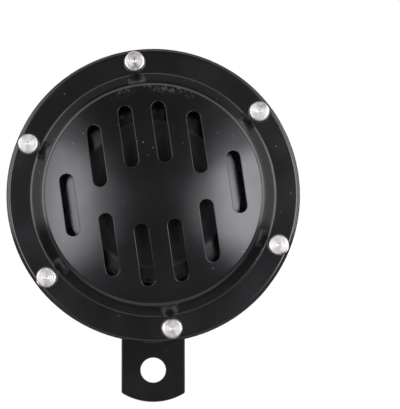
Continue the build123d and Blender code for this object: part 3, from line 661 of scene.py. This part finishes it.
def turned_metal(name, colour, shade, roughness, scratch_mm, depth_mm):
    """Bare or plated metal fresh from a machine: bright, with fine lines and a slightly uneven tone."""
    values = [("Base Color", opaque(colour)), ("Metallic", 1.0), ("Roughness", roughness)]
    material, tree, shader, place = start_material(name, values)
    tone = ramp(tree, noise(tree, place, 1.2, 3.0), 0.35, 0.7, 0.0, 1.0)
    tree.links.new(blend_colour(tree, tone, colour, shade), shader.inputs["Base Color"])
    lines = noise(tree, place, scratch_mm, 2.0, (1.0, 6.0, 1.0))
    tree.links.new(ramp(tree, lines, 0.3, 0.7, roughness * 0.75, roughness * 1.3), shader.inputs["Roughness"])
    add_bump(tree, lines, depth_mm, shader)
    return material


def chromate_zinc(name, colour, tint, roughness):
    """Yellow chromate over zinc: a pale gold film whose thickness shows as pink and green clouds."""
    material, tree, shader, place = start_material(name, [("Metallic", 1.0), ("Roughness", roughness)])
    cloud = ramp(tree, noise(tree, place, 1.6, 3.0), 0.35, 0.65, 0.0, 1.0)
    tree.links.new(blend_colour(tree, cloud, colour, tint), shader.inputs["Base Color"])
    tree.links.new(ramp(tree, noise(tree, place, 0.3, 2.0), 0.3, 0.7, roughness * 0.8, roughness * 1.3),
                   shader.inputs["Roughness"])
    add_bump(tree, noise(tree, place, 0.35, 2.0), 0.006, shader)
    return material


def satin_copper(name, colour, stain, roughness):
    """Copper-plated brass strip: matt pink and handled, with darker stains and a fine rolled grain."""
    values = [("Base Color", opaque(colour)), ("Metallic", 1.0), ("Roughness", roughness)]
    material, tree, shader, place = start_material(name, values)
    patch = ramp(tree, noise(tree, place, 2.2, 4.0), 0.42, 0.72, 0.0, 0.75)
    tree.links.new(blend_colour(tree, patch, colour, stain), shader.inputs["Base Color"])
    grain = noise(tree, place, 0.25, 2.0, (0.15, 1.0, 1.0))
    tree.links.new(ramp(tree, grain, 0.3, 0.7, roughness * 0.85, roughness * 1.25),
                   shader.inputs["Roughness"])
    add_bump(tree, grain, 0.008, shader)
    return material


def moulded_phenolic(name, colour, roughness, grain_mm, depth_mm):
    """Compression-moulded plastic: nearly matt, with the mould's grain and slightly paler rubbed spots."""
    values = [("Base Color", opaque(colour)), ("Roughness", roughness), ("IOR", 1.55)]
    material, tree, shader, place = start_material(name, values)
    rub = ramp(tree, noise(tree, place, 3.0, 3.0), 0.45, 0.75, 0.0, 0.35)
    paler = tuple(min(c * 1.7 + 0.01, 1) for c in colour)
    tree.links.new(blend_colour(tree, rub, colour, paler), shader.inputs["Base Color"])
    grain = noise(tree, place, grain_mm, 2.0)
    tree.links.new(ramp(tree, grain, 0.3, 0.7, roughness * 0.9, roughness * 1.15), shader.inputs["Roughness"])
    add_bump(tree, grain, depth_mm, shader)
    return material


def pressed_fibre(name, colour, fleck, roughness):
    """Gasket paper or vulcanised fibre: matt, with short fibres 0.3 mm wide in two tones."""
    values = [("Base Color", opaque(colour)), ("Roughness", roughness)]
    material, tree, shader, place = start_material(name, values)
    fibres = noise(tree, place, 0.3, 3.0, (1.0, 1.0, 0.35))
    share = ramp(tree, fibres, 0.35, 0.65, 0.0, 1.0)
    tree.links.new(blend_colour(tree, share, colour, fleck), shader.inputs["Base Color"])
    add_bump(tree, fibres, 0.03, shader)
    return material


def wound_wire(name, colour, gap, roughness):
    """Enamelled copper wire in layers: glossy amber-brown, a dark line between turns 0.45 mm apart."""
    values = [("Base Color", opaque(colour)), ("Metallic", 1.0), ("Roughness", roughness),
              ("Coat Weight", 0.6), ("Coat Roughness", 0.12)]
    material, tree, shader, place = start_material(name, values)
    settings = [("wave_type", "BANDS"), ("bands_direction", "Y"), ("wave_profile", "SIN")]
    turns = add_node(tree, "ShaderNodeTexWave", [("Vector", place)], settings,
                     [("Scale", 1 / (0.45 * MM) * math.pi / 10), ("Distortion", 0.4)]).outputs["Fac"]
    share = ramp(tree, turns, 0.0, 0.5, 1.0, 0.0)
    tree.links.new(blend_colour(tree, share, colour, gap), shader.inputs["Base Color"])
    add_bump(tree, turns, 0.12, shader)
    return material


def make_finishes(colours):
    """Every material slot's finish, by the slot's name, and two that single pieces take instead."""
    enamel, aluminium, copper = tuple(colours.enamel), tuple(colours.aluminium), tuple(colours.copper)
    yellow, moulding = tuple(colours.yellow_zinc), tuple(colours.moulding)

    def metal(name, colour, shade, *rest):
        return turned_metal(name, linear(colour), linear(shade), *rest)

    return {
        # deep black with soft highlights, on every pressing
        "black_paint": stoved_enamel("black_stoving_enamel", enamel, 0.21, 1.0),
        # keeps the inner slots dark and lets the outer ones catch light
        "dull_paint": uneven_enamel("uneven_black_enamel", enamel, 0.85, 0.26, 22.5, 24.5),
        # the six bright dots of the flange
        "bare_aluminium": turned_metal("turned_aluminium", aluminium, linear("B6B2B0"), 0.36, 0.8, 0.0002),
        # the yellow screw on the back
        "yellow_zinc": chromate_zinc("yellow_chromate_zinc", yellow, linear("D9B7A4"), 0.28),
        # the pink blades
        "copper_plate": satin_copper("satin_copper_plate", copper, linear("A8604A"), 0.46),
        # flatter and greyer than the enamel beside it
        "black_moulding": moulded_phenolic("black_phenolic_moulding", moulding, 0.52, 0.35, 0.012),
        # sharp glints on stud, nut and washer
        "zinc_plate": metal("bright_zinc_plate", "D6D8DC", "B6B9BF", 0.27, 0.4, 0.003),
        # pale, even silver of the terminal rivets
        "matt_zinc": metal("matt_zinc_plate", "E6E6E8", "D2D3D6", 0.46, 0.4, 0.003),
        # inside the horn: plain greys, paper, wire and brass
        "spring_steel": metal("rolled_spring_steel", "A9ABAF", "8E9094", 0.33, 0.5, 0.002),
        "soft_iron": metal("turned_soft_iron", "9C9A97", "7E7B77", 0.42, 0.35, 0.005),
        "gasket_paper": pressed_fibre("oiled_gasket_paper", linear("8A7350"), linear("6C5839"), 0.85),
        "enamelled_copper": wound_wire("enamelled_copper_wire", linear("B4652F"), linear("3A1A0C"), 0.3),
        "natural_nylon": moulded_phenolic("natural_nylon", linear("D9D2BE"), 0.45, 0.6, 0.006),
        "fibre_board": pressed_fibre("vulcanised_fibre", linear("7C4632"), linear("5E3325"), 0.7),
        "contact_metal": metal("tungsten_contact", "A2A3A7", "85868A", 0.4, 0.3, 0.004),
        "brass": metal("turned_brass", "D3B36A", "B8964E", 0.32, 0.4, 0.004),
    }


# ---------------------------------------------------------------- studio

def softbox(name, centre, aim, width, height, radiance):
    """Rectangular lamp facing a point; a flat lamp's power is pi times its area times its radiance."""
    lamp = bpy.data.lights.new(name, "AREA")
    lamp.shape = "RECTANGLE"
    lamp.size, lamp.size_y = width, height
    lamp.color = (0.93, 0.93, 1.0)
    lamp.energy = math.pi * width * height * radiance
    lamp_object = bpy.data.objects.new(name, lamp)
    lamp_object.location = centre
    lamp_object.rotation_euler = (Vector(aim) - Vector(centre)).to_track_quat("-Z", "Y").to_euler()
    bpy.context.scene.collection.objects.link(lamp_object)


def lamp_wall(name, side, level, radiance, wing, low, high):
    """Upright lamps in one plane beside the object, in metres, brightest in the middle of its front half.

    Each row is the lamp's name, its share of the radiance and its far and near end ahead of the object;
    wing is the share of the nearest one, low and high are the lamps' ends from the given level.
    """
    rows = (("edge", 0.22, 2.6, 1.45), ("panel", 1.0, 1.45, 0.8), ("wing", wing, 0.8, 0.60))
    for part, share, far, near in rows:
        centre = Vector((side, -(far + near) / 2, level + (low + high) / 2))
        across = (0, centre.y, centre.z)
        softbox(f"{name}_{part}", centre, across, far - near, high - low, radiance * share)
    centre = Vector((side, -1.025, level + high + 0.12))
    softbox(f"{name}_top", centre, (0, centre.y, centre.z), 0.85, 0.24, radiance * 0.16)
    centre = Vector((side, 1.05, level))
    softbox(f"{name}_rear", centre, (0, centre.y, centre.z), 0.8, 0.7, radiance * 0.65)


def studio_world(room, ring, right, left):
    """Surroundings: pure white to the camera; to the object a dim room with a paler ring round it.

    With f the direction's share towards the front and x its share to the right, the room's radiance
    is room + ring * band(f) + side(x). band is 1 about f = 0.35 and fades out by f = 0.65 and
    f = -0.1; side rises past |x| = 0.5 to the value of that side. Behind the object, walls and room
    fall to 0.3 of that.
    """
    world = bpy.data.worlds.new("studio")
    world.use_nodes = True
    bpy.context.scene.world = world
    tree = world.node_tree
    tree.nodes.clear()
    toward = add_node(tree, "ShaderNodeTexCoord").outputs["Generated"]
    axes = add_node(tree, "ShaderNodeSeparateXYZ", [("Vector", toward)])
    front = ramp(tree, axes.outputs["Y"], -0.65, -0.42, 0.0, ring)
    behind = ramp(tree, axes.outputs["Y"], -0.25, 0.1, 1.0, 0.0)
    band = combine(tree, "MULTIPLY", front, behind)
    bright = ramp(tree, axes.outputs["X"], 0.5, 0.9, room, room + right)
    dim = ramp(tree, axes.outputs["X"], -0.9, -0.5, left, 0.0)
    sides = combine(tree, "ADD", bright, dim)
    ahead = ramp(tree, axes.outputs["Y"], -0.2, 0.1, 1.0, 0.3)
    strength = combine(tree, "ADD", combine(tree, "MULTIPLY", sides, ahead), band)
    dark = add_node(tree, "ShaderNodeBackground", [("Strength", strength)], values=[("Color", (1, 1, 1, 1))])
    white = add_node(tree, "ShaderNodeBackground", values=[("Color", (1, 1, 1, 1)), ("Strength", 1.0)])
    ray = add_node(tree, "ShaderNodeLightPath").outputs["Is Camera Ray"]
    mix = add_node(tree, "ShaderNodeMixShader", [(0, ray), (1, dark.outputs[0]), (2, white.outputs[0])])
    add_node(tree, "ShaderNodeOutputWorld", [("Surface", mix.outputs[0])])


def studio_floor(level):
    """Wide pale floor: white to the camera apart from the object's soft shadow. To reflections it is dark
    grey, a painted shade, with a pale band just ahead of the object, a painted light that the object's
    reflections pick up.
    """
    mesh = bpy.data.meshes.new("studio_floor")
    u, v = np.meshgrid(np.linspace(-2, 2, 9), np.linspace(-2, 2, 9))
    points = np.stack([u, v, np.full_like(u, level)], axis=-1)
    _, _, quads = grid(points, points)
    mesh.from_pydata(points.reshape(-1, 3).tolist(), [], quads[:, ::-1].tolist())
    floor = bpy.data.objects.new("studio_floor", mesh)
    bpy.context.scene.collection.objects.link(floor)
    material, tree, shader, place = start_material("studio_paper", [("Roughness", 0.9)])
    glow = add_node(tree, "ShaderNodeEmission", values=[("Color", (1, 1, 1, 1)), ("Strength", 1.6)])
    path = add_node(tree, "ShaderNodeLightPath")
    ahead = add_node(tree, "ShaderNodeSeparateXYZ", [("Vector", place)]).outputs["Y"]
    # painted light: a pale band of floor from 0.4 m ahead of the object to just under it, seen only in
    # reflections
    near = ramp(tree, ahead, -0.4, -0.28, 0.0, 1.0)
    strip = combine(tree, "MULTIPLY", near, ramp(tree, ahead, -0.05, 0.03, 1.0, 0.0))
    # painted shade and painted light for reflections only: dark grey floor, pale in the band
    dull = blend_colour(tree, strip, linear("3C3C3C"), linear("D8D8D8"))
    paper = blend_colour(tree, path.outputs["Is Camera Ray"], dull, linear("F2F2F2"))
    tree.links.new(paper, shader.inputs["Base Color"])
    seen = combine(tree, "MULTIPLY", path.outputs["Is Camera Ray"], 0.6)
    mix = add_node(tree, "ShaderNodeMixShader",
                   [(0, seen), (1, shader.outputs["BSDF"]), (2, glow.outputs[0])])
    output = next(node for node in tree.nodes if node.type == "OUTPUT_MATERIAL")
    tree.links.new(mix.outputs[0], output.inputs["Surface"])
    mesh.materials.append(material)


# ---------------------------------------------------------------- settings

def size_mm(name, text, value):
    """A length property whose default is given in millimetres."""
    return FloatProperty(name=name, description=text, default=value * MM, min=0.0, precision=5, unit="LENGTH")


def colour_of(name, text, code):
    """A colour property whose default is an sRGB hex value."""
    return FloatVectorProperty(name=name, description=text, default=linear(code), subtype="COLOR",
                               min=0.0, max=1.0)


class HornCoverSizes(bpy.types.PropertyGroup):
    rim_r: size_mm("Rim radius", "Outer radius of the cover's skirt", 48.0)
    fold_r: size_mm("Fold radius", "Where the flange meets the shoulder", 39.6)
    shoulder_r: size_mm("Shoulder radius", "Top edge of the shoulder", 35.7)
    shoulder_h: size_mm("Shoulder height", "Top edge of the shoulder ahead of the flange", 5.5)
    crown_h: size_mm("Crown height", "Middle of the dome ahead of the shoulder", 4.5)
    shoulder_bend: size_mm("Shoulder bend", "Width of the rounding at the shoulder's top edge", 1.1)
    fold_bend: size_mm("Fold bend", "Width of the rounding at the fold", 0.6)
    rim_bend: size_mm("Rim bend", "Outer radius of the bend between flange and skirt", 1.6)
    wall: size_mm("Sheet", "Thickness of the sheet", 1.2)
    pitch: size_mm("Slot pitch", "Between two columns of slots", 27.4 / 2.54)
    grille_edge: size_mm("Grille edge", "Radius of the slotted part of the mesh", 34.0)
    grille_r: size_mm("Grille radius", "Circle that holds the slots' end centres", 27.4)
    slot_w: size_mm("Slot width", "Width of each slot", 4.5)
    slot_l: size_mm("Slot length", "Length of each slot over its round ends", 20.0)
    lip: size_mm("Slot lip", "Radius of the rounded edge of each slot", 0.22)
    lip_w: size_mm("Drain lip width", "Width of the flared lip at the foot of the skirt", 7.2)
    lip_proud: size_mm("Drain lip", "How far the flared lip stands out", 0.45)
    turn: FloatProperty(name="Grille turn", description="Anticlockwise turn of rivets and slots",
                        default=math.radians(GRILLE_TURN), subtype="ANGLE")
    columns: IntProperty(name="Columns", description="Mesh columns round the cover",
                         default=600, min=120, max=720)


class HornFastenerSizes(bpy.types.PropertyGroup):
    circle_r: size_mm("Rivet circle", "Radius of the circle of flange rivets", 43.75)
    face_r: size_mm("Rivet face", "Radius of a flange rivet's turned face", 3.25)
    base_r: size_mm("Rivet base", "Radius of a flange rivet's head at the flange", 3.55)
    height: size_mm("Rivet height", "Height of a flange rivet's head", 2.0)
    ridge_h: size_mm("Turning marks", "Height of the turned ridges, drawn coarse enough to show", 0.025)
    ridges: IntProperty(name="Ridges", description="Turned ridges from the middle to the edge",
                        default=6, min=1)
    dome_r: size_mm("Terminal rivet", "Radius of a terminal rivet's head", 2.15)
    dome_h: size_mm("Terminal rivet height", "Height of a terminal rivet's head", 1.2)
    dome_ball: size_mm("Terminal rivet dome", "Radius of the head's dome", 2.6)
    stud_pitch: size_mm("Stud pitch", "Pitch of the mounting stud's thread", 1.25)
    stud_depth: size_mm("Stud thread depth", "Depth of the mounting stud's thread", 0.7)
    screw_flat: size_mm("Tuning screw", "Middle of the tuning screw to its flats", 3.5)
    recess: size_mm("Cross recess", "Depth of the tuning screw's cross recess", 1.2)


class HornColours(bpy.types.PropertyGroup):
    enamel: colour_of("Enamel", "Black stoving enamel of the pressings", "070708")
    aluminium: colour_of("Rivets", "Turned aluminium of the flange rivets", "C4C0BE")
    copper: colour_of("Blades", "Satin copper of the terminal blades", "E6A58E")
    yellow_zinc: colour_of("Tuning screw", "Yellow zinc of the tuning screw", "DCC992")
    moulding: colour_of("Terminal block", "Black moulding of the terminal block", "353537")


class HornStudio(bpy.types.PropertyGroup):
    distance: size_mm("Camera distance", "Camera to the middle of the flange", 434.6)
    rise: FloatProperty(name="Camera elevation", description="Camera above the horn's axis",
                        default=math.radians(-3.0), subtype="ANGLE")
    right: FloatProperty(name="Right panel", description="Radiance of the right panel", default=8.9, min=0.0)
    left: FloatProperty(name="Left panel", description="Radiance of the left panel", default=7.3, min=0.0)
    room: FloatProperty(name="Room", description="Radiance of the dim room", default=0.12, min=0.0)
    ring: FloatProperty(name="Ring", description="Radiance beside and above the object", default=1.7, min=0.0)
    side_right: FloatProperty(name="Right wall", description="Radiance far to the right",
                              default=2.8, min=0.0)
    side_left: FloatProperty(name="Left wall", description="Radiance far to the left", default=2.4, min=0.0)


def in_mm(group):
    """Every length of a property group in millimetres, other numbers as they are."""
    values = {}
    for key in group.bl_rna.properties.keys():
        if key in ("rna_type", "name"):
            continue
        value = getattr(group, key)
        length = group.bl_rna.properties[key].unit == "LENGTH"
        values[key] = value / MM if length else value
    return values


FINISHES = {}


def finish(slot):
    """The material of a slot, made once."""
    if not FINISHES:
        FINISHES.update(make_finishes(bpy.context.scene.horn_colours))
    return FINISHES[slot]


# ---------------------------------------------------------------- operators

class HORN_OT_finishes(bpy.types.Operator):
    """Give every solid of the frame the finish its slot names"""
    bl_idname = "horn.finishes"
    bl_label = "Finishes"

    def execute(self, context):
        for part in frame["record"]["subparts"]:
            mesh = frame["nodes"][part["node"]].data
            mesh.materials.clear()
            dull = part["node"] in DULL_NODES
            mesh.materials.append(finish("dull_paint" if dull else part["material_slot"]))
        return {"FINISHED"}


class HORN_OT_cover(bpy.types.Operator):
    """Build the slotted cover as one pressed sheet"""
    bl_idname = "horn.cover"
    bl_label = "Cover"

    def execute(self, context):
        sizes = in_mm(context.scene.horn_cover)
        sizes["turn"] = math.degrees(sizes["turn"])
        sizes["spacing"] = 0.6
        make_piece("pressed_grille_cover", cover_patches(sizes), "horn_case",
                   finish("black_paint"), ("front_grille_cover",))
        return {"FINISHED"}


class HORN_OT_flange_rivets(bpy.types.Operator):
    """Build the six turned rivets of the flange"""
    bl_idname = "horn.flange_rivets"
    bl_label = "Flange rivets"

    def execute(self, context):
        sizes = in_mm(context.scene.horn_fasteners)
        make_piece("turned_flange_rivets", flange_rivet_patches(sizes), "horn_case",
                   finish("bare_aluminium"), ("flange_rivets",))
        return {"FINISHED"}


class HORN_OT_terminal_rivets(bpy.types.Operator):
    """Build the two domed rivets of the terminals"""
    bl_idname = "horn.terminal_rivets"
    bl_label = "Terminal rivets"

    def execute(self, context):
        sizes = in_mm(context.scene.horn_fasteners)
        make_piece("domed_terminal_rivets", terminal_rivet_patches(sizes), "horn_case",
                   finish("matt_zinc"), ("terminal_rivets",))
        return {"FINISHED"}


class HORN_OT_stud(bpy.types.Operator):
    """Build the pole core with its threaded stud"""
    bl_idname = "horn.stud"
    bl_label = "Mounting stud"

    def execute(self, context):
        sizes = in_mm(context.scene.horn_fasteners)
        make_piece("threaded_pole_core", stud_patches(sizes), "horn_case",
                   finish("zinc_plate"), ("pole_core",))
        return {"FINISHED"}


class HORN_OT_tuning_screw(bpy.types.Operator):
    """Build the hexagon tuning screw with its cross recess"""
    bl_idname = "horn.tuning_screw"
    bl_label = "Tuning screw"

    def execute(self, context):
        sizes = in_mm(context.scene.horn_fasteners)
        make_piece("cross_recess_tuning_screw", screw_patches(sizes), "tuning_screw",
                   finish("yellow_zinc"), ("adjusting_screw",))
        return {"FINISHED"}


class HORN_OT_studio(bpy.types.Operator):
    """Set up floor, soft light and camera"""
    bl_idname = "horn.studio"
    bl_label = "Studio"

    def execute(self, context):
        scene = context.scene
        studio = scene.horn_studio
        middle = Vector((0.0, -SEAT_AHEAD_OF_HOLE * MM, AXIS_ABOVE_HOLE * MM))
        camera = bpy.data.cameras.new("studio_camera")
        camera.sensor_width = 36.0
        camera.lens = 116.9
        camera.shift_x, camera.shift_y = 0.1144, -0.0236
        camera.clip_start, camera.clip_end = 0.01, 20.0
        camera_object = bpy.data.objects.new("studio_camera", camera)
        away = Vector((0, -math.cos(studio.rise), math.sin(studio.rise)))
        camera_object.location = middle + studio.distance * away
        camera_object.rotation_euler = (math.pi / 2 - studio.rise, 0, 0)
        scene.collection.objects.link(camera_object)
        scene.camera = camera_object
        lamp_wall("right", 0.5, middle.z, studio.right, 0.9, -0.27, 0.27)
        lamp_wall("left", -0.5, middle.z, studio.left, 0.45, -0.36, 0.31)
        softbox("rear_top", Vector((0.0, 1.0, middle.z + 0.8)), middle, 0.9, 0.5, 4.0)
        studio_world(studio.room, studio.ring, studio.side_right, studio.side_left)
        studio_floor(-0.38)
        scene.view_settings.view_transform = "Standard"
        return {"FINISHED"}


PIECES = (HORN_OT_finishes, HORN_OT_cover, HORN_OT_flange_rivets, HORN_OT_terminal_rivets, HORN_OT_stud,
          HORN_OT_tuning_screw, HORN_OT_studio)
GROUPS = {"horn_cover": HornCoverSizes, "horn_fasteners": HornFastenerSizes, "horn_colours": HornColours,
          "horn_studio": HornStudio}


class HORN_PT_panel(bpy.types.Panel):
    """Sizes, colours and pieces of the horn"""
    bl_idname = "HORN_PT_panel"
    bl_label = "Disc horn"
    bl_space_type = "VIEW_3D"
    bl_region_type = "UI"
    bl_category = "Horn"

    def draw(self, context):
        for name in GROUPS:
            box = self.layout.box()
            group = getattr(context.scene, name)
            for key in group.bl_rna.properties.keys():
                if key not in ("rna_type", "name"):
                    box.prop(group, key)
        for operator in PIECES:
            self.layout.operator(operator.bl_idname)


def register():
    """Register every class and hang the settings on the scene."""
    for group in GROUPS.values():
        bpy.utils.register_class(group)
    for name, group in GROUPS.items():
        setattr(bpy.types.Scene, name, PointerProperty(type=group))
    for operator in PIECES + (HORN_PT_panel,):
        bpy.utils.register_class(operator)


def unregister():
    """Undo register, last first."""
    for operator in reversed(PIECES + (HORN_PT_panel,)):
        bpy.utils.unregister_class(operator)
    for name, group in GROUPS.items():
        delattr(bpy.types.Scene, name)
        bpy.utils.unregister_class(group)


def main():
    """Build every piece in order."""
    register()
    bpy.ops.horn.finishes()
    bpy.ops.horn.cover()
    bpy.ops.horn.flange_rivets()
    bpy.ops.horn.terminal_rivets()
    bpy.ops.horn.stud()
    bpy.ops.horn.tuning_screw()
    bpy.ops.horn.studio()


if __name__ == "__main__":
    main()
